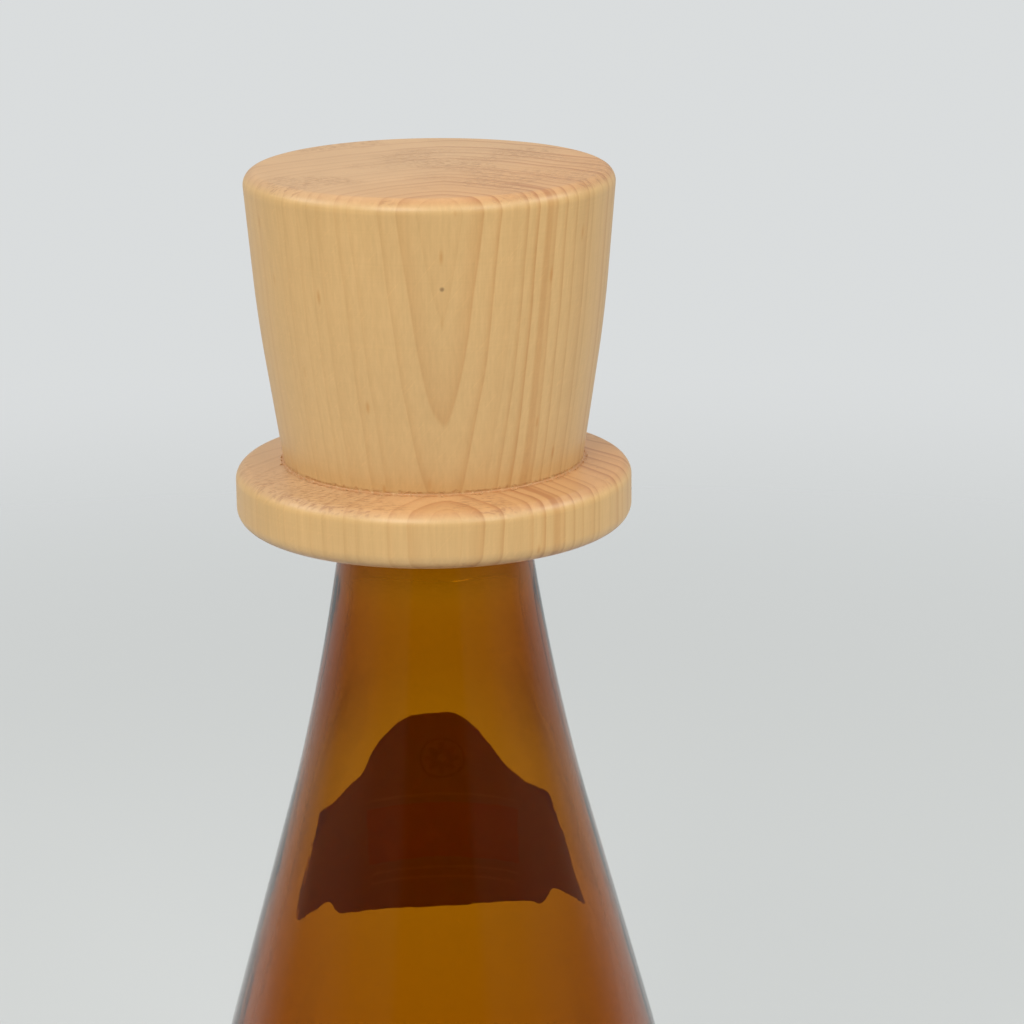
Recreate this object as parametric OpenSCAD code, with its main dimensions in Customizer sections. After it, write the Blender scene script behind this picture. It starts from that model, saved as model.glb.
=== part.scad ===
// Round glass bottle with a long sloping shoulder and a screw closure
// covered by a turned wooden top hat. Base on z = 0, axis on Z, label side
// towards +Y. All sizes in millimetres.

/* [Glass bottle] */
// Diameter of the round body
body_d = 60.6; // [58:0.2:66]
// Height of the glass from the foot to the rim of the mouth
glass_h = 167.6; // [160:0.2:190]
// Slope of the shoulder, measured from the vertical
shoulder_slope = 15.4; // [14.5:0.1:17]
// Wall thickness of the body
body_wall = 2.6; // [2:0.1:3]
// Wall thickness at the top of the shoulder
neck_wall = 1.6; // [1.4:0.1:1.9]
// Rise of the push-up under the base
push_up = 3; // [2:0.5:5]

/* [Neck finish] */
// Diameter over the thread
thread_d = 23.88; // [23.4:0.02:23.9]
// Diameter of the neck between the threads
finish_d = 21.5; // [21.3:0.1:21.6]
// Height from the transfer bead to the rim
finish_h = 10.16; // [10:0.02:11]
// Rise of the thread in one turn
thread_lead = 3.175; // [3.1:0.005:3.2]
// Diameter of the bore through the neck
bore_d = 14.8; // [14:0.2:15]

/* [Closure] */
// Diameter of the hole in the orifice reducer
orifice_d = 6.4; // [2:0.2:7]
// Outside diameter of the threaded insert
insert_d = 27; // [26.8:0.1:27.4]
// Thickness of the sealing liner
liner_t = 1.2; // [1:0.1:1.5]

/* [Wooden hat] */
// Diameter of the brim
brim_d = 49.1; // [46:0.1:54]
// Thickness of the brim
brim_t = 7.8; // [7:0.1:9]
// Diameter of the crown at the top
crown_top_d = 45.5; // [40:0.1:50]
// Diameter of the crown where it meets the brim
crown_foot_d = 37.1; // [35:0.1:40]
// Height of the crown above the brim
crown_h = 36.2; // [34:0.2:50]

/* [Labels] */
// Thickness of the label stock
label_t = 0.15; // [0.1:0.05:0.3]
// Width of the winged shoulder label
shoulder_label_w = 43.4; // [40:0.2:44]
// Turn of the shoulder label from level
shoulder_label_tilt = 2.5; // [-4:0.5:4]
// Turn of the shoulder label round the bottle
shoulder_label_swing = 2; // [-10:1:10]
// Width of the body label
body_label_w = 46; // [40:0.5:50]
// Height of the body label
body_label_h = 40; // [34:0.5:44]

/* [Hidden] */
$fn = 96;

// Small distances shared by several pieces
face_gap = 0.05;    // between flat faces that rest on each other
glue_gap = 0.1;     // round the insert, filled by glue
edge_step = 9;      // turn of one facet on a small rounded edge, degrees
sweep_step = 0.8;   // turn of one facet on a long sweep, degrees

// Outside of the glass
body_r = body_d / 2;
heel_r = 7;
foot_r = 20.5;
neck_lean = 6;
shoulder_sweep_r = 84;
bead_r = finish_d / 2 + 1.15;
bead_h = 1.6;
bead_top = glass_h - finish_h;
neck_bend = [finish_d / 2 + 2.55, bead_top - 22.1];
shoulder_z = neck_bend.y - (body_r - neck_bend.x) / tan(shoulder_slope);
under_bead_r = neck_bend.x - (bead_top - bead_h - neck_bend.y) * tan(neck_lean);
half_bend = (shoulder_slope - neck_lean) / 2;
neck_run = (bead_top - bead_h - neck_bend.y) / cos(neck_lean);
neck_sweep_r = 0.99 * neck_run / tan(half_bend);    // uses nearly all of the straight neck

// Inside of the glass
bore_r = bore_d / 2;
base_t = 4.5;
inner_heel_r = 6;
inner_body_r = body_r - body_wall;
inner_bend_r = neck_bend.x - neck_wall / cos(shoulder_slope);
neck_in_z = glass_h - 21.6;
bore_z = glass_h - 13;
neck_in_r = inner_bend_r - (neck_in_z - neck_bend.y) * tan(neck_lean);
inner_sweep_r = 0.8 * (neck_in_z - neck_bend.y) / tan(half_bend);

// Thread on the glass, and its partner half a turn's rise below it
thread_turns = 1.25;
thread_top = glass_h - 2.4;
thread_root_w = 2.5;
thread_crest_w = 0.9;
partner_crest_r = finish_d / 2 + 0.35;
partner_root_w = 2.1;
partner_crest_w = 0.6;
partner_turns = 1.1;
thread_facet = 10;  // degrees
ramp = 30;          // degrees over which a thread end rises

// Closure levels
flange_t = 0.9;
reducer_top = glass_h + face_gap + flange_t;
liner_z = reducer_top + face_gap;
insert_ceiling = liner_z + liner_t + face_gap;
insert_top_t = 1.3;
insert_top = insert_ceiling + insert_top_t;
insert_bore_r = thread_d / 2 + 0.31;
brim_foot = glass_h - 15.4;
insert_foot = brim_foot + 1.2;
brim_top = brim_foot + brim_t;
brim_fall = 0.7;    // the brim is this much lower at its edge
hat_bore_r = insert_d / 2 + glue_gap;
hat_top = brim_top + crown_h;

// A rounded corner of radius r at p, between a and b, as a list of points
function unit(v) = v / norm(v);
function corner_arc(a, p, b, r, step) =
    let (u = unit(a - p), v = unit(b - p), half = acos(max(-1, min(1, u * v))) / 2,
         centre = p + unit(u + v) * r / sin(half),
         start = p + u * r / tan(half) - centre,
         turn = (180 - 2 * half) * (u.x * v.y - u.y * v.x > 0 ? -1 : 1),
         n = max(2, ceil(abs(turn) / step)))
    [for (i = [0:n]) let (t = turn * i / n)
        centre + [start.x * cos(t) - start.y * sin(t), start.x * sin(t) + start.y * cos(t)]];

// An outline with corners [x, y, radius]: radius 0 leaves a corner sharp,
// and a radius over 20 is a long sweep with finer facets
function rounded(c) =
    [for (i = [0:len(c) - 1])
        let (n = len(c), p = [c[i].x, c[i].y], before = c[(i + n - 1) % n], after = c[(i + 1) % n])
        each (c[i][2] == 0 ? [p] : corner_arc([before.x, before.y], p, [after.x, after.y],
                                              c[i][2], c[i][2] > 20 ? sweep_step : edge_step))];

// Glass outside from the foot to the rim, up to the axis
function glass_outline() = rounded([
    [0, 0, 0], [body_r, 0, heel_r], [body_r, shoulder_z, shoulder_sweep_r],
    [neck_bend.x, neck_bend.y, neck_sweep_r], [under_bead_r, bead_top - bead_h, 0],
    [bead_r, bead_top - bead_h, 0.7], [bead_r, bead_top, 0.7], [finish_d / 2, bead_top, 0.2],
    [finish_d / 2, glass_h, 0.8], [0, glass_h, 0]]);

// A helical ridge on a wall of radius r_root, rising to r_crest; it is rooted
// inside the wall, and both ends dive back into it
module ridge(r_root, r_crest, root_w, crest_w, z_low, turns) {
    n = ceil(turns * 360 / thread_facet);
    inward = sign(r_root - r_crest);
    r_sunk = r_root + inward * 0.5;
    r_end = r_root + inward * 0.2;
    flip = r_crest > r_root;
    function section(i) =
        let (a = turns * 360 * i / n, z = z_low + thread_lead * a / 360,
             rise = min(1, a / ramp, (turns * 360 - a) / ramp), r = r_end + (r_crest - r_end) * rise)
        [for (q = [[r_sunk, -root_w / 2], [r, -crest_w / 2], [r, crest_w / 2], [r_sunk, root_w / 2]])
            [q[0] * cos(a), q[0] * sin(a), z + q[1]]];
    function wind(f) = flip ? [f[2], f[1], f[0]] : f;
    points = [for (i = [0:n]) each section(i)];
    sides = [for (i = [0:n - 1], k = [0:3])
        let (a = 4 * i + k, b = 4 * i + (k + 1) % 4)
        each [wind([a, a + 4, b]), wind([b, a + 4, b + 4])]];
    ends = [for (k = [1:2]) each [wind([0, k, k + 1]), wind([4 * n, 4 * n + k + 1, 4 * n + k])]];
    polyhedron(points = points, faces = concat(sides, ends), convexity = 6);
}

// A spherical bulge of the given height and rim radius, its top at z
module dome_2d(z, height, rim_r) {
    r = (rim_r * rim_r + height * height) / (2 * height);
    edge = asin(rim_r / r);
    n = ceil(edge / 1.5);
    polygon(concat([[0, z - height]],
        [for (i = [n:-1:0]) [r * sin(edge * i / n), z - r + r * cos(edge * i / n)]]));
}

module glass_bottle() {
    color([0.52, 0.26, 0.03, 0.6]) difference() {
        union() {
            rotate_extrude() polygon(glass_outline());
            ridge(finish_d / 2, thread_d / 2, thread_root_w, thread_crest_w,
                  thread_top - thread_turns * thread_lead, thread_turns);
        }
        rotate_extrude() glass_inside_2d();
        rotate_extrude() translate([0, -0.01]) dome_2d(push_up, push_up, foot_r);
    }
}

module glass_inside_2d() {
    difference() {
        polygon(rounded([
            [0, base_t, 0], [inner_body_r, base_t, inner_heel_r],
            [inner_body_r, shoulder_z, shoulder_sweep_r], [inner_bend_r, neck_bend.y, inner_sweep_r],
            [neck_in_r, neck_in_z, 12], [bore_r, bore_z, 8], [bore_r, glass_h + 1, 0],
            [0, glass_h + 1, 0]]));
        dome_2d(base_t + push_up, push_up, foot_r);
    }
}

// Plug pressed into the bore, with a flange on the rim and a splash hole
module orifice_reducer() {
    wall = 1;
    tube_r = bore_r - 0.15;
    rib_r = bore_r - 0.03;
    tube_foot = glass_h - 9;
    dish_z = glass_h - 2.2;
    flange_r = finish_d / 2 - 1.2;
    hole_r = orifice_d / 2;
    flange_z = glass_h + face_gap;
    color("ivory") rotate_extrude() {
        polygon(rounded([
            [hole_r, dish_z, 0], [tube_r - wall, dish_z, 0], [tube_r - wall, tube_foot, 0],
            [tube_r, tube_foot, 0.4], [tube_r, flange_z, 0], [flange_r, flange_z, 0],
            [flange_r, reducer_top, 0.3], [tube_r - wall, reducer_top, 0.3],
            [hole_r + 2.2, dish_z + 0.8, 0], [hole_r + 0.6, dish_z + 0.8, 0],
            [hole_r + 0.6, dish_z + 1.8, 0], [hole_r, dish_z + 1.8, 0]]));
        for (k = [0:2]) {
            z = tube_foot + 1.2 + 2.2 * k;
            polygon([[tube_r - 0.3, z], [rib_r, z + 0.5], [rib_r, z + 0.9], [tube_r - 0.3, z + 1.1]]);
        }
    }
}

module cap_liner() {
    color("whitesmoke") translate([0, 0, liner_z])
        cylinder(r = insert_bore_r - 0.35, h = liner_t);
}

// Plastic screw cap bonded into the hat
module threaded_insert() {
    color([0.12, 0.12, 0.13]) union() {
        rotate_extrude() polygon(rounded([
            [insert_bore_r, insert_foot, 0.3], [insert_d / 2, insert_foot, 0.4],
            [insert_d / 2, insert_top, 0.5], [0, insert_top, 0], [0, insert_ceiling, 0],
            [insert_bore_r, insert_ceiling, 0.3]]));
        ridge(insert_bore_r, partner_crest_r, partner_root_w, partner_crest_w,
              thread_top - (thread_turns + 0.5) * thread_lead, partner_turns);
    }
}

// Crown and brim turned from one block, with a blind bore for the insert
module wooden_hat() {
    crown_top_r = crown_top_d / 2;
    crown_foot_r = crown_foot_d / 2;
    brim_r = brim_d / 2;
    swell = 0.6;    // the side of the crown bows out by this at its middle corner
    color("burlywood") rotate_extrude() difference() {
        polygon(rounded([
            [0, brim_foot, 0], [brim_r, brim_foot, 1.6], [brim_r, brim_top - brim_fall, 1.3],
            [crown_foot_r, brim_top, 0.3],
            [(crown_foot_r + crown_top_r) / 2 + swell, brim_top + crown_h / 2, 140],
            [crown_top_r, hat_top, 1.8], [0, hat_top, 0]]));
        polygon(rounded([
            [0, brim_foot - 1, 0], [hat_bore_r + 1, brim_foot - 1, 0], [hat_bore_r + 1, brim_foot, 0],
            [hat_bore_r, brim_foot + 1, 0], [hat_bore_r, insert_top + glue_gap, 0.4],
            [0, insert_top + glue_gap, 0]]));
    }
}

// A skin over the glass, from its outside to label_t beyond it
module glass_skin(z_low, z_high) {
    rotate_extrude(angle = 180) intersection() {
        difference() {
            translate([face_gap + label_t, 0]) polygon(glass_outline());
            translate([face_gap, 0]) polygon(glass_outline());
        }
        translate([1, z_low]) square([2 * body_r, z_high - z_low]);
    }
}

// Domed label with a wing at each side, on the shoulder
module shoulder_label() {
    low = glass_h - 79.3;
    high = low + 32.6;
    half = shoulder_label_w / 2;
    side = [[0, high, 0], [5.6, high, 6], [11.3, high - 8.8, 9], [half - 4.8, high - 10.4, 1.5],
            [half, low + 6, 0.5], [half - 5, low + 6.2, 1], [half - 6.2, low + 3, 1.5],
            [0, low, 40]];
    mirrored = [for (i = [len(side) - 2:-1:1]) [-side[i].x, side[i].y, side[i][2]]];
    color("wheat") rotate(shoulder_label_swing) intersection() {
        glass_skin(low - 4, high + 4);
        translate([0, 0, low + 8]) rotate([0, -shoulder_label_tilt, 0]) translate([0, 0, -low - 8])
            rotate([90, 0, 0]) translate([0, 0, -2 * body_r]) linear_extrude(2 * body_r)
                polygon(rounded(concat(side, mirrored)));
    }
}

// Ticket-shaped label on the body, with a bite out of each corner
module body_label() {
    low = 11;
    bite = 4;
    color("wheat") intersection() {
        glass_skin(low, low + body_label_h);
        rotate([90, 0, 0]) translate([0, 0, -2 * body_r]) linear_extrude(2 * body_r)
            difference() {
                translate([-body_label_w / 2, low]) square([body_label_w, body_label_h]);
                for (x = [-1, 1], y = [0, 1])
                    translate([x * body_label_w / 2, low + y * body_label_h]) circle(bite);
            }
    }
}

glass_bottle();
orifice_reducer();
cap_liner();
threaded_insert();
wooden_hat();
shoulder_label();
body_label();
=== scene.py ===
import math
import random

import bmesh
import bpy
from mathutils import Matrix, Vector


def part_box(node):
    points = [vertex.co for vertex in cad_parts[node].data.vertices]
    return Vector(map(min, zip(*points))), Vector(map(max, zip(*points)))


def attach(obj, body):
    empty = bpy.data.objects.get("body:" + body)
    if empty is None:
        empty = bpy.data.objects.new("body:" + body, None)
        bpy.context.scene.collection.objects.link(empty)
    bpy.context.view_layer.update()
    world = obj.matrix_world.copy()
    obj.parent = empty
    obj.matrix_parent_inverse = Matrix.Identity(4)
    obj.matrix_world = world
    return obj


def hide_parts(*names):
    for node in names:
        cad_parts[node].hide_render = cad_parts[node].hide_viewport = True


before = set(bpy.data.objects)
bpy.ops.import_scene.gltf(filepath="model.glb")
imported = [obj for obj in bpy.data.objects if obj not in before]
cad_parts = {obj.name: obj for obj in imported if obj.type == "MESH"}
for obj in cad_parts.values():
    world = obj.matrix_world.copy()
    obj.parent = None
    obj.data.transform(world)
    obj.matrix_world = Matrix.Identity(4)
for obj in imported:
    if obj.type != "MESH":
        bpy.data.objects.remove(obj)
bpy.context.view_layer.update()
mm = 0.001
sliver = 0.004      # mm, shorter edges are collapsed

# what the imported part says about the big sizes, in mm
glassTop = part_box("glass_bottle")[1].z / mm
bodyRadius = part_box("glass_bottle")[1].x / mm
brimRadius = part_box("wooden_hat")[1].x / mm
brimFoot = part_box("wooden_hat")[0].z / mm
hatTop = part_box("wooden_hat")[1].z / mm
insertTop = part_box("threaded_insert")[1].z / mm
print("frame loaded, hat top at", round(hatTop, 2), "mm")


def roundCorners(corners, closed=False):
    # corners are (across, up, rounding) in mm; gives the rounded line as points in metres
    bm = bmesh.new()
    verts = [bm.verts.new((across * mm, 0, up * mm)) for across, up, rounding in corners]
    places = [v.co.copy() for v in verts]
    pairs = list(zip(verts, verts[1:])) + ([(verts[-1], verts[0])] if closed else [])
    for a, b in pairs:
        bm.edges.new((a, b))
    for i, (across, up, rounding) in enumerate(corners):
        if rounding == 0:
            continue
        toBefore = places[i - 1] - places[i]
        toAfter = places[(i + 1) % len(places)] - places[i]
        half = toBefore.angle(toAfter) / 2
        turn = math.degrees(math.pi - 2 * half)
        step = 0.8 if rounding > 20 else 7.5       # long sweeps need finer facets
        bmesh.ops.bevel(bm, geom=[verts[i]], offset=rounding * mm / math.tan(half),
                        offset_type="OFFSET", segments=max(3, math.ceil(turn / step)),
                        profile=0.5, affect="VERTICES", material=-1, clamp_overlap=False)
    bm.verts.ensure_lookup_table()
    first = min(bm.verts, key=lambda v: (v.co - places[0]).length)
    line, last, here = [first.co.copy()], None, first
    while True:
        onward = [e.other_vert(here) for e in here.link_edges if e.other_vert(here) is not last]
        if not onward or onward[0] is first:
            break
        last, here = here, onward[0]
        line.append(here.co.copy())
    bm.free()
    return line


def spinLine(line, steps):
    # turns a line about the axis into a closed skin, poles merged
    bm = bmesh.new()
    verts = [bm.verts.new(p) for p in line]
    edges = [bm.edges.new(pair) for pair in zip(verts, verts[1:])]
    bmesh.ops.spin(bm, geom=verts + edges, axis=(0, 0, 1), cent=(0, 0, 0),
                   angle=2 * math.pi, steps=steps, use_merge=True)
    bmesh.ops.remove_doubles(bm, verts=bm.verts, dist=0.002 * mm)
    bmesh.ops.recalc_face_normals(bm, faces=bm.faces)
    return bm


def finishMesh(bm, name, materials, sharpFrom=32):
    for face in bm.faces:
        face.smooth = True
    for edge in bm.edges:
        if edge.calc_face_angle(0) > math.radians(sharpFrom):
            edge.smooth = False
    mesh = bpy.data.meshes.new(name)
    bm.to_mesh(mesh)
    bm.free()
    for material in materials:
        mesh.materials.append(material)
    obj = bpy.data.objects.new(name, mesh)
    bpy.context.scene.collection.objects.link(obj)
    return obj


def weld(base, extra):
    # joins a second solid into the first and drops it
    union = base.modifiers.new("union", "BOOLEAN")
    union.operation = "UNION"
    union.solver = "EXACT"
    union.object = extra
    evaluated = base.evaluated_get(bpy.context.evaluated_depsgraph_get())
    mesh = bpy.data.meshes.new_from_object(evaluated)
    bm = bmesh.new()
    bm.from_mesh(mesh)
    bmesh.ops.dissolve_degenerate(bm, edges=bm.edges, dist=sliver * mm)
    bm.to_mesh(mesh)
    bm.free()
    base.modifiers.clear()
    base.data = mesh
    bpy.data.objects.remove(extra)


def put(tree, kind, inputs=None, **settings):
    # adds a node; an input is a value or another node's output
    node = tree.nodes.new(kind)
    for key, value in settings.items():
        setattr(node, key, value)
    for key, value in (inputs or {}).items():
        if isinstance(value, bpy.types.NodeSocket):
            tree.links.new(value, node.inputs[key])
        else:
            node.inputs[key].default_value = value
    return node


def calc(tree, operation, *values):
    node = put(tree, "ShaderNodeMath", dict(enumerate(values)), operation=operation)
    return node.outputs[0]


def ramp(tree, value, low, high):
    # 0 below low, 1 above high, smooth between; low may be the larger one
    node = put(tree, "ShaderNodeMapRange",
               {"Value": value, "From Min": low, "From Max": high},
               interpolation_type="SMOOTHSTEP")
    return node.outputs[0]


def noise(tree, vector, scale, detail=2.0, rough=0.5, stretch=(1, 1, 1)):
    mapped = put(tree, "ShaderNodeMapping", {"Vector": vector, "Scale": stretch})
    node = put(tree, "ShaderNodeTexNoise",
               {"Vector": mapped.outputs[0], "Scale": scale, "Detail": detail, "Roughness": rough})
    return node.outputs["Fac"]


def blend(tree, factor, first, second, mode="MIX"):
    node = put(tree, "ShaderNodeMix", data_type="RGBA", blend_type=mode)
    for key, value in ((0, factor), (6, first), (7, second)):
        if isinstance(value, bpy.types.NodeSocket):
            tree.links.new(value, node.inputs[key])
        elif key == 0:
            node.inputs[key].default_value = value
        else:
            node.inputs[key].default_value = (*value, 1)
    return node.outputs[2]


def startMaterial(name):
    material = bpy.data.materials.new(name)
    material.use_nodes = True
    tree = material.node_tree
    tree.nodes.clear()
    shader = put(tree, "ShaderNodeBsdfPrincipled")
    put(tree, "ShaderNodeOutputMaterial", {"Surface": shader.outputs[0]})
    coords = put(tree, "ShaderNodeTexCoord").outputs["Object"]
    place = put(tree, "ShaderNodeMapping", {"Vector": coords, "Scale": (1000, 1000, 1000)})
    return material, tree, shader, place.outputs[0]      # place is in mm


def addBump(tree, shader, height, distance, strength=1.0):
    bump = put(tree, "ShaderNodeBump",
               {"Height": height, "Distance": distance * mm, "Strength": strength})
    tree.links.new(bump.outputs[0], shader.inputs["Normal"])


cameraSet = {
    "place": (9.66, -390.0, 263.9),     # mm
    "pitch": -15.93,                    # degrees below level
    "roll": -0.51,
    "lens": 114.26,
}
cameraData = bpy.data.cameras.new("camera")
cameraData.lens = cameraSet["lens"]
cameraData.sensor_width = 36
cameraData.clip_start = 0.01
camera = bpy.data.objects.new("camera", cameraData)
bpy.context.scene.collection.objects.link(camera)
camera.matrix_world = (Matrix.Translation(Vector(cameraSet["place"]) * mm)
                       @ Matrix.Rotation(math.radians(90 + cameraSet["pitch"]), 4, "X")
                       @ Matrix.Rotation(math.radians(cameraSet["roll"]), 4, "Z"))
bpy.context.scene.camera = camera
bpy.context.scene.view_settings.view_transform = "Standard"
print("camera set")


studio = {
    "sky": (0.70, 0.72, 0.725),         # what the camera sees past the floor
    "behind": 0.59,                     # light from behind the bottle
    "above": 0.83,
    "front": 0.004,                     # dim room on the viewer's side
    "oblique": 0.06,                    # a little lighter from about 25 degrees either way
    "sides": 0.13,
    "floorR": 0.72,                     # metres, fading into the sky at its edge
    "floorColour": (0.575, 0.585, 0.58),
    "floorMottle": (0.66, 0.64, 0.58),
    "floorFadeR": 0.33,                 # where the fading starts
    "keyPower": 5.7,
    "fillPower": 3.2,
    "sidePower": 3.7,
}

world = bpy.data.worlds.new("studioRoom")
bpy.context.scene.world = world
world.use_nodes = True
sky = world.node_tree
sky.nodes.clear()
# light comes from behind and above, and the viewer's side is dim
direction = put(sky, "ShaderNodeSeparateXYZ",
                {"Vector": put(sky, "ShaderNodeTexCoord").outputs["Generated"]})
towardBack = ramp(sky, direction.outputs["Y"], 0.05, 0.75)
towardTop = ramp(sky, direction.outputs["Z"], 0.42, 0.72)
sideways = calc(sky, "ABSOLUTE", direction.outputs["X"])
towardSide = ramp(sky, sideways, 0.75, 1.0)
oblique = calc(sky, "MULTIPLY", ramp(sky, sideways, 0.38, 0.52), studio["oblique"])
lowLight = calc(sky, "ADD", calc(sky, "ADD", studio["front"], oblique),
                calc(sky, "MULTIPLY", towardSide, studio["sides"] - studio["oblique"]))
backLight = calc(sky, "ADD", lowLight,
                 calc(sky, "MULTIPLY", towardBack, studio["behind"] - studio["sides"]))
topLight = calc(sky, "MAXIMUM", backLight, calc(sky, "MULTIPLY", towardTop, studio["above"]))
seen = put(sky, "ShaderNodeLightPath").outputs["Is Camera Ray"]
skyColour = blend(sky, seen, (0.97, 1.0, 1.0), studio["sky"])
skyLevel = calc(sky, "MAXIMUM", topLight, seen)
backdrop = put(sky, "ShaderNodeBackground", {"Color": skyColour, "Strength": skyLevel})
put(sky, "ShaderNodeOutputWorld", {"Surface": backdrop.outputs[0]})


def softLight(name, place, size, power, tint=(1, 1, 1)):
    data = bpy.data.lights.new(name, "AREA")
    data.shape = "RECTANGLE"
    data.size, data.size_y = size
    data.energy = power
    data.color = tint
    light = bpy.data.objects.new(name, data)
    light.location = place
    aim = Vector((0, 0, 0.15)) - Vector(place)
    light.rotation_euler = aim.to_track_quat("-Z", "Y").to_euler()
    bpy.context.scene.collection.objects.link(light)


softLight("keyLight", (-0.32, -0.85, 0.80), (0.5, 0.35), studio["keyPower"], (1, 0.98, 0.95))
softLight("leftLight", (-0.95, -0.05, 0.85), (0.5, 0.4), studio["sidePower"])
softLight("rightLight", (0.95, -0.05, 0.85), (0.5, 0.4), studio["sidePower"])
softLight("fillLight", (0.55, -0.75, 0.72), (0.45, 0.4), studio["fillPower"], (0.97, 0.99, 1))

floorBm = bmesh.new()
bmesh.ops.create_circle(floorBm, cap_ends=True, segments=96, radius=studio["floorR"])
floorMaterial, tree, shader, place = startMaterial("paleFloor")
mottle = noise(tree, place, 0.004, 3.0)
tone = blend(tree, calc(tree, "MULTIPLY", mottle, 0.06), studio["floorColour"],
             studio["floorMottle"])
tree.links.new(tone, shader.inputs["Base Color"])
shader.inputs["Roughness"].default_value = 0.85
fromMiddle = put(tree, "ShaderNodeVectorMath", {0: place}, operation="LENGTH").outputs["Value"]
tree.links.new(ramp(tree, fromMiddle, studio["floorR"] / mm, studio["floorFadeR"] / mm),
               shader.inputs["Alpha"])
addBump(tree, shader, noise(tree, place, 0.8, 2.0), 0.05, 0.3)
floor = finishMesh(floorBm, "floor", [floorMaterial])
print("studio set")


bottle = {
    "shoulderSlope": 15.4,      # degrees from the vertical
    "neckLean": 6.0,
    "finishR": 10.75,           # neck between the threads
    "finishH": 10.16,
    "wall": 2.6,
    "neckWall": 1.6,
    "heel": 7.0,
    "footR": 20.5,
    "pushUp": 3.0,
    "baseT": 4.5,
    "boreR": 7.4,
    "steps": 192,
}
thread = {
    "crestR": 11.94,
    "lead": 3.175,
    "turns": 1.25,
    "top": glassTop - 2.4,
    "rootW": 2.5,
    "crestW": 0.9,
    "sink": 0.5,
    "steps": 90,
    "rampSteps": 8,
}
glassLook = {
    "ior": 1.52,
    "depth": 1500.0,                    # absorption per metre
    "colour": (0.891, 0.726, 0.0),
    "roughness": 0.015,
}


def tanDeg(angle):
    return math.tan(math.radians(angle))


beadTop = glassTop - bottle["finishH"]
beadFoot = beadTop - 1.6
bendR, bendZ = bottle["finishR"] + 2.55, beadTop - 22.1
halfBend = (bottle["shoulderSlope"] - bottle["neckLean"]) / 2
shoulderZ = bendZ - (bodyRadius - bendR) / tanDeg(bottle["shoulderSlope"])
neckRun = (beadFoot - bendZ) / math.cos(math.radians(bottle["neckLean"]))
underBeadR = bendR - (beadFoot - bendZ) * tanDeg(bottle["neckLean"])
beadR = bottle["finishR"] + 1.15
outsideCorners = [
    (bottle["footR"], 0, 0.8), (bodyRadius, 0, bottle["heel"]), (bodyRadius, shoulderZ, 84),
    (bendR, bendZ, 0.99 * neckRun / tanDeg(halfBend)), (underBeadR, beadFoot, 0),
    (beadR, beadFoot, 0.7), (beadR, beadTop, 0.7), (bottle["finishR"], beadTop, 0.2),
    (bottle["finishR"], glassTop, 0.8),
]
insideBendR = bendR - bottle["neckWall"] / math.cos(math.radians(bottle["shoulderSlope"]))
neckInZ = glassTop - 21.6
neckInR = insideBendR - (neckInZ - bendZ) * tanDeg(bottle["neckLean"])
insideCorners = [
    (bottle["boreR"], glassTop, 0.6), (bottle["boreR"], glassTop - 13, 8),
    (neckInR, neckInZ, 12), (insideBendR, bendZ, 0.8 * (neckInZ - bendZ) / tanDeg(halfBend)),
    (bodyRadius - bottle["wall"], shoulderZ, 84), (bodyRadius - bottle["wall"], bottle["baseT"], 6),
    (bottle["footR"] - 1, bottle["baseT"], 20), (0, bottle["baseT"] + bottle["pushUp"], 0),
]
wholeLine = roundCorners([(0, bottle["pushUp"], 0)] + outsideCorners + insideCorners)
outsideLine = roundCorners([(0, 0, 0)] + outsideCorners[1:])


def radiusAt(height):
    # outside radius of the glass at a height, both in metres
    for low, high in zip(outsideLine, outsideLine[1:]):
        if low.z <= height <= high.z and high.z > low.z:
            return low.x + (high.x - low.x) * (height - low.z) / (high.z - low.z)
    return bodyRadius * mm


def threadSolid():
    bm = bmesh.new()
    sunkR = bottle["finishR"] - thread["sink"]
    low = thread["top"] - thread["turns"] * thread["lead"]
    section = [(sunkR, -thread["rootW"] / 2), (thread["crestR"], -thread["crestW"] / 2),
               (thread["crestR"], thread["crestW"] / 2), (sunkR, thread["rootW"] / 2)]
    verts = [bm.verts.new((r * mm, 0, (low + z) * mm)) for r, z in section]
    edges = [bm.edges.new((verts[i], verts[(i + 1) % 4])) for i in range(4)]
    rise = thread["turns"] * thread["lead"] / thread["steps"]
    bmesh.ops.spin(bm, geom=verts + edges, axis=(0, 0, 1), cent=(0, 0, 0), dvec=(0, 0, rise * mm),
                   angle=thread["turns"] * 2 * math.pi, steps=thread["steps"], use_merge=False)
    restR = (bottle["finishR"] - 0.2) * mm
    for i, v in enumerate(bm.verts):            # both ends run out into the neck
        step = i // 4
        share = min(1, step / thread["rampSteps"], (thread["steps"] - step) / thread["rampSteps"])
        r = math.hypot(v.co.x, v.co.y)
        if r > restR:
            grow = (restR + (r - restR) * share) / r
            v.co.x *= grow
            v.co.y *= grow
    bmesh.ops.holes_fill(bm, edges=bm.edges, sides=4)
    bmesh.ops.recalc_face_normals(bm, faces=bm.faces)
    return finishMesh(bm, "threadRidge", [])


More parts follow.
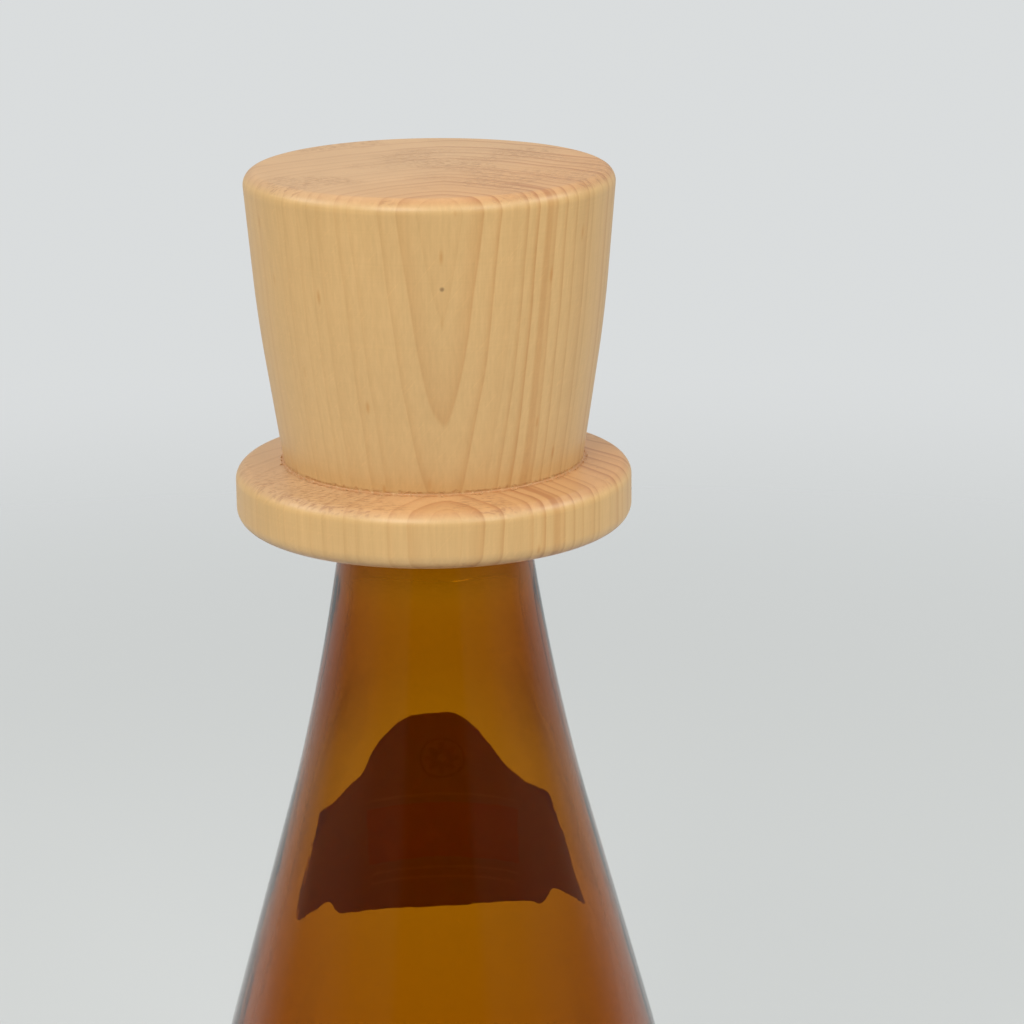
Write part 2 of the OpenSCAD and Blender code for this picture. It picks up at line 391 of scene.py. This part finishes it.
def amberGlass():
    material, tree, shader, place = startMaterial("amberGlass")
    shader.inputs["Base Color"].default_value = (1, 1, 1, 1)
    shader.inputs["Transmission Weight"].default_value = 1
    shader.inputs["IOR"].default_value = glassLook["ior"]
    absorb = put(tree, "ShaderNodeVolumeAbsorption",
                 {"Color": (*glassLook["colour"], 1), "Density": glassLook["depth"]})
    tree.links.new(absorb.outputs[0], tree.nodes["Material Output"].inputs["Volume"])
    axes = put(tree, "ShaderNodeSeparateXYZ", {"Vector": place})
    # blown glass is a little wavy, with long draws up and down
    draws = noise(tree, place, 0.11, 2.0, 0.45, (1, 1, 0.18))
    orangePeel = noise(tree, place, 0.6, 1.0, 0.4)
    # two mould seams, and a knurled ring under the heel
    seam = ramp(tree, calc(tree, "ABSOLUTE", axes.outputs["Y"]), 0.32, 0.05)
    ringR = calc(tree, "POWER", calc(tree, "ADD", calc(tree, "POWER", axes.outputs["X"], 2.0),
                                     calc(tree, "POWER", axes.outputs["Y"], 2.0)), 0.5)
    underside = calc(tree, "MULTIPLY", ramp(tree, axes.outputs["Z"], 0.6, 0.1),
                     ramp(tree, ringR, 20.6, 21.4))
    stipple = put(tree, "ShaderNodeTexVoronoi", {"Vector": place, "Scale": 0.9})
    knurl = calc(tree, "MULTIPLY", underside, stipple.outputs["Distance"])
    height = calc(tree, "ADD", calc(tree, "MULTIPLY", draws, 1.0),
                  calc(tree, "MULTIPLY", orangePeel, 0.05))
    height = calc(tree, "ADD", height, calc(tree, "MULTIPLY", seam, 0.35))
    height = calc(tree, "ADD", height, calc(tree, "MULTIPLY", knurl, 1.2))
    addBump(tree, shader, height, 0.22, 0.6)
    dust = noise(tree, place, 1.7, 2.0)
    haze = calc(tree, "MULTIPLY", ramp(tree, dust, 0.72, 0.8), 0.12)
    tree.links.new(calc(tree, "ADD", haze, glassLook["roughness"]), shader.inputs["Roughness"])
    return material


glass = finishMesh(spinLine(wholeLine, bottle["steps"]), "glassBody", [amberGlass()], 40)
weld(glass, threadSolid())
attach(glass, "bottle")
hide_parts("glass_bottle")
print("glass bottle made,", len(glass.data.polygons), "faces")


hat = {
    "brimT": 7.8,
    "brimFall": 0.7,
    "brimUnderEdge": 2.1,
    "brimOverEdge": 1.8,
    "crownFootR": 18.55,
    "crownTopR": 22.75,
    "swell": 0.6,
    "boreR": 13.6,
    "steps": 256,
}
pine = {
    "pith": (2.0, -26.0, 178.0),        # heart of the log, just in front of the hat, mm
    "pithLean": 3.2,
    "ringGap": 2.2,
    "pointed": 1.45,
    "early": (0.69, 0.43, 0.176),
    "late": (0.54, 0.255, 0.075),
    "endEarly": (0.60, 0.36, 0.172),
    "endLate": (0.44, 0.215, 0.09),
    "endWarm": (1.0, 0.90, 0.78),       # tint of the end grain toward the right
    "resin": (0.56, 0.25, 0.06),
    "strongRing": 16.7,                 # one dark ring, its radius in mm
    "pore": (0.36, 0.17, 0.07),
    "torn": (0.50, 0.215, 0.065),       # rough fibres where the crown meets the brim
    "knot": (1.8, -21.9, 185.6),        # one pin knot on the crown, mm
    "knotR": 0.40,
    "knotColour": (0.12, 0.05, 0.02),
}
brimTop = brimFoot + hat["brimT"]
boreTop = insertTop + 0.1
crownMidR = (hat["crownFootR"] + hat["crownTopR"]) / 2 + hat["swell"]
hatLine = roundCorners([
    (hat["boreR"], boreTop, 0), (hat["boreR"], brimFoot + 1, 0), (hat["boreR"] + 1, brimFoot, 0),
    (brimRadius, brimFoot, hat["brimUnderEdge"]),
    (brimRadius, brimTop - hat["brimFall"], hat["brimOverEdge"]),
    (hat["crownFootR"], brimTop, 0.3), (crownMidR, (brimTop + hatTop) / 2, 140),
    (hat["crownTopR"], hatTop, 1.8), (0, hatTop, 0),
])
hatLine = [Vector((0, 0, boreTop * mm))] + hatLine


def turnedPine():
    material, tree, shader, place = startMaterial("turnedPine")
    centred = put(tree, "ShaderNodeMapping",
                  {"Vector": place, "Location": tuple(-value for value in pine["pith"])})
    upright = put(tree, "ShaderNodeMapping", {"Vector": centred.outputs[0],
                  "Rotation": (math.radians(pine["pithLean"]), 0, 0)}).outputs[0]
    axes = put(tree, "ShaderNodeSeparateXYZ", {"Vector": upright})
    own = put(tree, "ShaderNodeSeparateXYZ", {"Vector": place})
    x, y, z = (own.outputs[key] for key in "XYZ")

    # growth rings wander a little, and a power under 2 draws them out to a point
    sideways = calc(tree, "POWER", calc(tree, "ABSOLUTE", axes.outputs["X"]), pine["pointed"])
    inward = calc(tree, "POWER", calc(tree, "ABSOLUTE", axes.outputs["Y"]), pine["pointed"])
    fromPith = calc(tree, "POWER", calc(tree, "ADD", sideways, inward), 1 / pine["pointed"])
    wander = noise(tree, upright, 0.09, 2.0, 0.5, (1, 1, 0.22))
    ringR = calc(tree, "ADD", fromPith, calc(tree, "MULTIPLY_ADD", wander, 2.6, -1.3))
    years = put(tree, "ShaderNodeTexNoise", {"W": calc(tree, "MULTIPLY", ringR, 0.3),
                "Scale": 1.0, "Detail": 1.0}, noise_dimensions="1D").outputs[0]
    ringR = calc(tree, "ADD", ringR, calc(tree, "MULTIPLY_ADD", years, 3.4, -1.7))
    phase = calc(tree, "DIVIDE", ringR, pine["ringGap"])
    part = calc(tree, "FRACT", phase)
    number = calc(tree, "FLOOR", phase)
    chance = put(tree, "ShaderNodeTexWhiteNoise", {"W": number}, noise_dimensions="1D").outputs[0]
    rising = calc(tree, "POWER", part, 3.2)
    late = calc(tree, "MULTIPLY", rising, ramp(tree, part, 1.0, 0.93))
    late = calc(tree, "MULTIPLY", late, calc(tree, "MULTIPLY_ADD", chance, 0.5, 0.12))
    late = calc(tree, "MULTIPLY", late, calc(tree, "MULTIPLY_ADD", ramp(tree, x, -12.0, 14.0), 0.9, 0.5))
    offStrong = calc(tree, "ABSOLUTE", calc(tree, "SUBTRACT", ringR, pine["strongRing"]))
    strong = calc(tree, "MULTIPLY", ramp(tree, offStrong, 0.55, 0.1), ramp(tree, x, 6.0, 12.0))
    late = calc(tree, "MAXIMUM", late, calc(tree, "MULTIPLY", strong, 0.5))

    # fibres run up the grain
    fibre = noise(tree, upright, 1.0, 4.0, 0.6, (2.6, 2.6, 0.02))
    broad = noise(tree, upright, 1.0, 2.0, 0.5, (0.16, 0.16, 0.02))

    # cut across the grain the wood is warmer, with short dark pores
    facing = put(tree, "ShaderNodeSeparateXYZ",
                 {"Vector": put(tree, "ShaderNodeNewGeometry").outputs["Normal"]})
    endGrain = ramp(tree, calc(tree, "ABSOLUTE", facing.outputs["Z"]), 0.35, 0.85)
    side = blend(tree, late, pine["early"], pine["late"])
    ends = blend(tree, calc(tree, "MULTIPLY", late, 1.9), pine["endEarly"], pine["endLate"])
    ends = blend(tree, ramp(tree, calc(tree, "SUBTRACT", x, calc(tree, "MULTIPLY", y, 0.8)), -6.0, 22.0),
                 ends, blend(tree, 1.0, ends, pine["endWarm"], "MULTIPLY"))
    colour = blend(tree, endGrain, side, ends)
    streaks = calc(tree, "MULTIPLY_ADD", fibre, 0.2, 0.90)
    drift = calc(tree, "MULTIPLY_ADD", broad, 0.16, 0.92)
    colour = blend(tree, 1.0, colour, put(tree, "ShaderNodeCombineXYZ", {
        "X": streaks, "Y": calc(tree, "POWER", streaks, 1.2),
        "Z": calc(tree, "POWER", streaks, 1.6)}).outputs[0], "MULTIPLY")
    colour = blend(tree, 1.0, colour, put(tree, "ShaderNodeCombineXYZ", {
        "X": drift, "Y": calc(tree, "POWER", drift, 1.1),
        "Z": calc(tree, "POWER", drift, 1.3)}).outputs[0], "MULTIPLY")

    pores = noise(tree, place, 1.0, 3.0, 0.65, (1.1, 3.2, 0.3))
    patches = noise(tree, place, 0.085, 2.0)
    poreMask = calc(tree, "MULTIPLY", ramp(tree, pores, 0.5, 0.6), ramp(tree, patches, 0.45, 0.57))
    poreMask = calc(tree, "MULTIPLY", calc(tree, "MULTIPLY", poreMask, endGrain), 0.6)
    colour = blend(tree, poreMask, colour, pine["pore"])

    # resin flecks drawn out along the grain
    fleckPoints = put(tree, "ShaderNodeMapping", {"Vector": upright, "Scale": (0.55, 0.55, 0.13)})
    flecks = put(tree, "ShaderNodeTexVoronoi", {"Vector": fleckPoints.outputs[0], "Scale": 1.0})
    picked = put(tree, "ShaderNodeSeparateXYZ", {"Vector": flecks.outputs["Color"]}).outputs[0]
    fleckMask = calc(tree, "MULTIPLY", ramp(tree, flecks.outputs["Distance"], 0.2, 0.04),
                     ramp(tree, picked, 0.78, 0.82))
    fleckMask = calc(tree, "MULTIPLY", fleckMask, calc(tree, "SUBTRACT", 1.0, endGrain))
    colour = blend(tree, calc(tree, "MULTIPLY", fleckMask, 0.55), colour, pine["resin"])

    knotAway = put(tree, "ShaderNodeVectorMath", {0: place, 1: pine["knot"]},
                   operation="DISTANCE").outputs["Value"]
    knot = ramp(tree, knotAway, pine["knotR"], 0.3 * pine["knotR"])
    colour = blend(tree, calc(tree, "MULTIPLY", knot, 0.6), colour, pine["knotColour"])

    # torn fibres in the corner between crown and brim
    across = calc(tree, "POWER", calc(tree, "ADD", calc(tree, "POWER", x, 2.0),
                                      calc(tree, "POWER", y, 2.0)), 0.5)
    cornerAway = calc(tree, "POWER", calc(tree, "ADD",
                      calc(tree, "POWER", calc(tree, "SUBTRACT", across, hat["crownFootR"]), 2.0),
                      calc(tree, "POWER", calc(tree, "SUBTRACT", z, brimTop), 2.0)), 0.5)
    ragged = calc(tree, "MULTIPLY", noise(tree, place, 1.5, 4.0, 0.8), 1.9)
    torn = ramp(tree, calc(tree, "ADD", cornerAway, ragged), 1.45, 1.0)
    colour = blend(tree, calc(tree, "MULTIPLY", torn, 0.8), colour, pine["torn"])
    # satin oil finish, tool lines round the work, slight sanding marks
    lathe = noise(tree, place, 1.0, 2.0, 0.6, (0.02, 0.02, 4.5))
    sanding = put(tree, "ShaderNodeMapping", {"Vector": place, "Rotation": (0, 0.9, 0)})
    scratches = noise(tree, sanding.outputs[0], 1.0, 2.0, 0.6, (0.12, 1.0, 5.0))
    marks = calc(tree, "ADD", calc(tree, "MULTIPLY_ADD", lathe, 0.06, 0.97),
                 calc(tree, "MULTIPLY", ramp(tree, scratches, 0.6, 0.72), 0.05))
    colour = blend(tree, 1.0, colour, put(tree, "ShaderNodeCombineXYZ", {
        "X": marks, "Y": marks, "Z": marks}).outputs[0], "MULTIPLY")
    tree.links.new(colour, shader.inputs["Base Color"])
    height = calc(tree, "ADD", calc(tree, "MULTIPLY", fibre, 0.5),
                  calc(tree, "MULTIPLY", lathe, 0.35))
    height = calc(tree, "ADD", height, calc(tree, "MULTIPLY", scratches, 0.2))
    height = calc(tree, "SUBTRACT", height, calc(tree, "MULTIPLY", poreMask, 1.2))
    height = calc(tree, "SUBTRACT", height, calc(tree, "MULTIPLY", torn, 1.5))
    addBump(tree, shader, height, 0.05, 0.7)
    gloss = calc(tree, "MULTIPLY_ADD", fibre, 0.16, 0.36)
    tree.links.new(gloss, shader.inputs["Roughness"])
    shader.inputs["Specular IOR Level"].default_value = 0.45
    shader.inputs["Coat Weight"].default_value = 0.18
    shader.inputs["Coat Roughness"].default_value = 0.3
    return material


pineMaterial = turnedPine()
hatPiece = finishMesh(spinLine(hatLine, hat["steps"]), "turnedHat", [pineMaterial], 35)
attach(hatPiece, "closure")
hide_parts("wooden_hat")

crumbs = {"count": 120, "smallest": 0.05, "largest": 0.13, "seed": 11}
dice = random.Random(crumbs["seed"])
crumbBm = bmesh.new()
for i in range(crumbs["count"]):
    size = dice.uniform(crumbs["smallest"], crumbs["largest"])
    angle = dice.uniform(0, 2 * math.pi)
    r = hat["crownFootR"] + dice.uniform(0.05, 0.55)
    spot = (Matrix.Translation(Vector((r * math.cos(angle), r * math.sin(angle),
                                       brimTop + 0.25 * size)) * mm)
            @ Matrix.Rotation(angle + dice.uniform(-0.6, 0.6), 4, "Z")
            @ Matrix.Diagonal((0.7, dice.uniform(1.0, 2.4), 0.7, 1)))
    bmesh.ops.create_icosphere(crumbBm, subdivisions=1, radius=size * mm, matrix=spot)
crumbPiece = finishMesh(crumbBm, "cornerCrumbs", [pineMaterial], 80)
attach(crumbPiece, "closure")
print("wooden hat made")


labelStock = {"gap": 0.05, "thickness": 0.15, "cutEvery": 1.3}
shoulderLabel = {
    "low": glassTop - 79.3,
    "height": 32.6,
    "halfWidth": 21.7,
    "tilt": 2.5,
    "swing": 2.0,               # turned this far round the bottle, degrees
    "emblem": (0.0, 25.9),      # centre across and above the foot of the label
    "emblemR": 3.2,
    "band": (9.0, 18.5),        # colour band, low and high above the foot
    "bandHalf": 11.2,           # ends between two diamonds
}
bodyLabel = {
    "low": 11.0,
    "height": 40.0,
    "halfWidth": 23.0,
    "bite": 4.0,
    "border": 1.2,              # printed line just inside the edge
    "borderLine": 0.5,
    "emblem": (0.0, 29.5),
    "emblemR": 5.2,
    "band": (12.5, 21.0),
    "bandHalf": 17.6,
}
ink = {
    "paper": (0.80, 0.74, 0.60),
    "dark": (0.055, 0.03, 0.02),
    "accent": (0.27, 0.035, 0.02),
    "back": (0.44, 0.39, 0.37),
}


def printedPaper(name, label, paintedShowThrough):
    # a rosette, a patterned band and fine rules, all read from the label's own place
    material, tree, shader, place = startMaterial(name)
    own = put(tree, "ShaderNodeSeparateXYZ", {"Vector": place})
    x, z = own.outputs["X"], own.outputs["Z"]
    up = calc(tree, "SUBTRACT", z, label["low"])
    side = calc(tree, "ABSOLUTE", x)

    emblemX, emblemUp = label["emblem"]
    awayX = calc(tree, "SUBTRACT", x, emblemX)
    awayUp = calc(tree, "SUBTRACT", up, emblemUp)
    away = calc(tree, "POWER", calc(tree, "ADD", calc(tree, "POWER", awayX, 2.0),
                                    calc(tree, "POWER", awayUp, 2.0)), 0.5)
    angle = calc(tree, "ARCTAN2", awayUp, awayX)
    petals = calc(tree, "MULTIPLY_ADD", calc(tree, "COSINE", calc(tree, "MULTIPLY", angle, 8.0)),
                  0.16 * label["emblemR"], 0.66 * label["emblemR"])
    flower = ramp(tree, calc(tree, "SUBTRACT", petals, away), -0.08, 0.08)
    heart = ramp(tree, away, 0.26 * label["emblemR"], 0.2 * label["emblemR"])
    ringGap = calc(tree, "ABSOLUTE", calc(tree, "SUBTRACT", away, label["emblemR"]))
    ring = ramp(tree, ringGap, 0.3, 0.16)
    emblem = calc(tree, "MAXIMUM", calc(tree, "SUBTRACT", flower, heart), ring)

    bandLow, bandHigh = label["band"]
    inBand = calc(tree, "MULTIPLY", ramp(tree, up, bandLow - 0.08, bandLow + 0.08),
                  ramp(tree, up, bandHigh + 0.08, bandHigh - 0.08))
    inBand = calc(tree, "MULTIPLY", inBand,
                  ramp(tree, side, label["bandHalf"] + 0.08, label["bandHalf"] - 0.08))
    bandMid = (bandLow + bandHigh) / 2
    lattice = calc(tree, "PINGPONG", x, 1.6)
    climb = calc(tree, "ABSOLUTE", calc(tree, "SUBTRACT", up, bandMid))
    diamond = ramp(tree, calc(tree, "ADD", lattice, calc(tree, "MULTIPLY", climb, 1.0)), 1.5, 1.3)
    band = calc(tree, "SUBTRACT", inBand, calc(tree, "MULTIPLY", diamond, inBand))

    rules = None
    for level in (bandLow - 1.6, bandLow - 3.2, bandHigh + 1.4):
        line = ramp(tree, calc(tree, "ABSOLUTE", calc(tree, "SUBTRACT", up, level)), 0.24, 0.1)
        line = calc(tree, "MULTIPLY", line, ramp(tree, side, label["bandHalf"], label["bandHalf"] - 0.3))
        rules = line if rules is None else calc(tree, "MAXIMUM", rules, line)

    speckle = noise(tree, place, 3.0, 3.0, 0.6)
    cloud = noise(tree, place, 0.12, 2.0)
    # the back face repeats the print faintly: painted show-through, standing in for light passing through
    # the thin paper
    if paintedShowThrough:
        paper = blend(tree, speckle, tuple(0.86 * c for c in ink["back"]), ink["back"])
        paper = blend(tree, calc(tree, "MULTIPLY", cloud, 0.35), paper, (0.5, 0.26, 0.11))
        colour = blend(tree, calc(tree, "MULTIPLY", inBand, 0.3), paper, (0.62, 0.14, 0.07))
        colour = blend(tree, calc(tree, "MULTIPLY", emblem, 0.22), colour, (0.16, 0.08, 0.04))
        colour = blend(tree, calc(tree, "MULTIPLY", rules, 0.15), colour, (0.95, 0.8, 0.6))
    else:
        if "border" in label:
            fromSide = calc(tree, "SUBTRACT", label["halfWidth"], side)
            middle = label["height"] / 2
            fromEnd = calc(tree, "SUBTRACT", middle,
                           calc(tree, "ABSOLUTE", calc(tree, "SUBTRACT", up, middle)))
            fromCorner = calc(tree, "POWER", calc(tree, "ADD", calc(tree, "MULTIPLY", fromSide, fromSide),
                                                  calc(tree, "MULTIPLY", fromEnd, fromEnd)), 0.5)
            fromBite = calc(tree, "SUBTRACT", fromCorner, label["bite"])
            fromEdge = calc(tree, "MINIMUM", calc(tree, "MINIMUM", fromSide, fromEnd), fromBite)
            halfLine = label["borderLine"] / 2
            offLine = calc(tree, "ABSOLUTE", calc(tree, "SUBTRACT", fromEdge, label["border"] + halfLine))
            rules = calc(tree, "MAXIMUM", rules, ramp(tree, offLine, halfLine + 0.06, halfLine - 0.06))
        paper = blend(tree, speckle, tuple(0.95 * c for c in ink["paper"]), ink["paper"])
        paper = blend(tree, calc(tree, "MULTIPLY", cloud, 0.25), paper, (0.70, 0.60, 0.42))
        colour = blend(tree, band, paper, ink["accent"])
        colour = blend(tree, emblem, colour, ink["dark"])
        colour = blend(tree, rules, colour, ink["dark"])
    tree.links.new(colour, shader.inputs["Base Color"])
    tree.links.new(calc(tree, "MULTIPLY_ADD", speckle, 0.2, 0.55), shader.inputs["Roughness"])
    shader.inputs["Specular IOR Level"].default_value = 0.3
    if paintedShowThrough:                     # thin paper lets some daylight through
        shader.inputs["Subsurface Weight"].default_value = 0.5
        shader.inputs["Subsurface Radius"].default_value = (1.0, 0.7, 0.5)
        shader.inputs["Subsurface Scale"].default_value = 0.8 * mm
    addBump(tree, shader, noise(tree, place, 1.6, 3.0, 0.6), 0.02, 0.5)
    return material


def wrappedLabel(name, outline, label, turn, swing):
    bm = bmesh.new()
    verts = [bm.verts.new(p) for p in roundCorners(outline, closed=True)]
    for i in range(len(verts)):
        bm.edges.new((verts[i], verts[(i + 1) % len(verts)]))
    bmesh.ops.edgeloop_fill(bm, edges=bm.edges)
    if turn:
        pivot = Vector((0, 0, (label["low"] + 8) * mm))
        bmesh.ops.rotate(bm, verts=bm.verts, cent=pivot,
                         matrix=Matrix.Rotation(math.radians(-turn), 3, "Y"))
    # enough cuts to follow the glass both ways
    half, step = label["halfWidth"] + 2, labelStock["cutEvery"]
    for i in range(1, int(2 * half / step)):
        bmesh.ops.bisect_plane(bm, geom=bm.verts[:] + bm.edges[:] + bm.faces[:],
                               plane_co=((-half + i * step) * mm, 0, 0), plane_no=(1, 0, 0))
    for i in range(1, int((label["height"] + 4) / step)):
        level = (label["low"] - 2 + i * step) * mm
        bmesh.ops.bisect_plane(bm, geom=bm.verts[:] + bm.edges[:] + bm.faces[:],
                               plane_co=(0, 0, level), plane_no=(0, 0, 1))
    for v in bm.verts:
        r = radiusAt(v.co.z) + labelStock["gap"] * mm
        v.co.y = math.sqrt(r * r - v.co.x * v.co.x)
    bmesh.ops.rotate(bm, verts=bm.verts, cent=(0, 0, 0),
                     matrix=Matrix.Rotation(math.radians(swing), 3, "Z"))
    inner = bm.faces[:]
    outer = bmesh.ops.duplicate(bm, geom=bm.verts[:] + bm.edges[:] + inner)
    outerVerts = [g for g in outer["geom"] if isinstance(g, bmesh.types.BMVert)]
    outerEdges = [g for g in outer["geom"] if isinstance(g, bmesh.types.BMEdge)]
    for v in outerVerts:
        r = math.hypot(v.co.x, v.co.y)
        grow = (r + labelStock["thickness"] * mm) / r
        v.co.x *= grow
        v.co.y *= grow
    for face in inner:
        face.material_index = 1
    innerEdges = [e for f in inner for e in f.edges if len(e.link_faces) == 1]
    rimEdges = list(set(innerEdges)) + [e for e in outerEdges if len(e.link_faces) == 1]
    bmesh.ops.bridge_loops(bm, edges=rimEdges)
    bmesh.ops.dissolve_degenerate(bm, edges=bm.edges, dist=sliver * mm)
    bmesh.ops.recalc_face_normals(bm, faces=bm.faces)
    # the inner faces get the back material, which carries the painted show-through of the print
    piece = finishMesh(bm, name, [printedPaper(name + "Print", label, False),
                                  printedPaper(name + "Back", label, True)], 50)
    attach(piece, "bottle")
    return piece


low, half = shoulderLabel["low"], shoulderLabel["halfWidth"]
high = low + shoulderLabel["height"]
rightSide = [(0, high, 0), (5.6, high, 6), (11.3, high - 8.8, 9), (half - 4.8, high - 10.4, 1.5),
             (half, low + 6, 0.5), (half - 5.0, low + 6.2, 1), (half - 6.2, low + 3, 1.5),
             (0, low, 40)]
leftSide = [(-across, up, rounding) for across, up, rounding in reversed(rightSide[1:-1])]
domed = wrappedLabel("shoulderPaper", rightSide + leftSide, shoulderLabel,
                     shoulderLabel["tilt"], shoulderLabel["swing"])
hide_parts("shoulder_label")

half, low, bite = bodyLabel["halfWidth"], bodyLabel["low"], bodyLabel["bite"]
high = low + bodyLabel["height"]
ticket = []
for signX, signZ in ((1, 1), (1, -1), (-1, -1), (-1, 1)):
    edgeZ = high if signZ > 0 else low
    corner = [(signX * (half - bite), edgeZ, 0),
              (signX * (half - bite), edgeZ - signZ * bite, 0.98 * bite),
              (signX * half, edgeZ - signZ * bite, 0)]
    ticket += corner if signX * signZ > 0 else corner[::-1]
square = wrappedLabel("bodyPaper", ticket, bodyLabel, 0, 0)
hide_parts("body_label")
print("labels made")


def mouldedPlastic(name, colour, roughness, see, grain):
    material, tree, shader, place = startMaterial(name)
    flow = noise(tree, place, 0.25, 3.0)
    texture = noise(tree, place, grain, 3.0, 0.6)
    darker = tuple(0.82 * c for c in colour)
    tree.links.new(blend(tree, flow, darker, colour), shader.inputs["Base Color"])
    tree.links.new(calc(tree, "MULTIPLY_ADD", texture, 0.18, roughness), shader.inputs["Roughness"])
    shader.inputs["Subsurface Weight"].default_value = see
    shader.inputs["Subsurface Scale"].default_value = 0.002
    addBump(tree, shader, texture, 0.02, 0.5)
    return material


def linerFoam():
    material, tree, shader, place = startMaterial("linerFoam")
    cells = put(tree, "ShaderNodeTexVoronoi", {"Vector": place, "Scale": 3.5})
    wall = ramp(tree, cells.outputs["Distance"], 0.1, 0.6)
    tree.links.new(blend(tree, wall, (0.72, 0.72, 0.69), (0.86, 0.86, 0.84)),
                   shader.inputs["Base Color"])
    shader.inputs["Roughness"].default_value = 0.8
    addBump(tree, shader, wall, 0.04, 0.6)
    return material


fittings = {
    "orifice_reducer": mouldedPlastic("naturalPlastic", (0.80, 0.79, 0.74), 0.32, 0.3, 2.5),
    "cap_liner": linerFoam(),
    "threaded_insert": mouldedPlastic("blackPlastic", (0.018, 0.018, 0.02), 0.22, 0.0, 3.0),
}
for nodeName, material in fittings.items():
    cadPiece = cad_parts[nodeName]
    cadPiece.data.materials.clear()
    cadPiece.data.materials.append(material)
print("fittings finished")
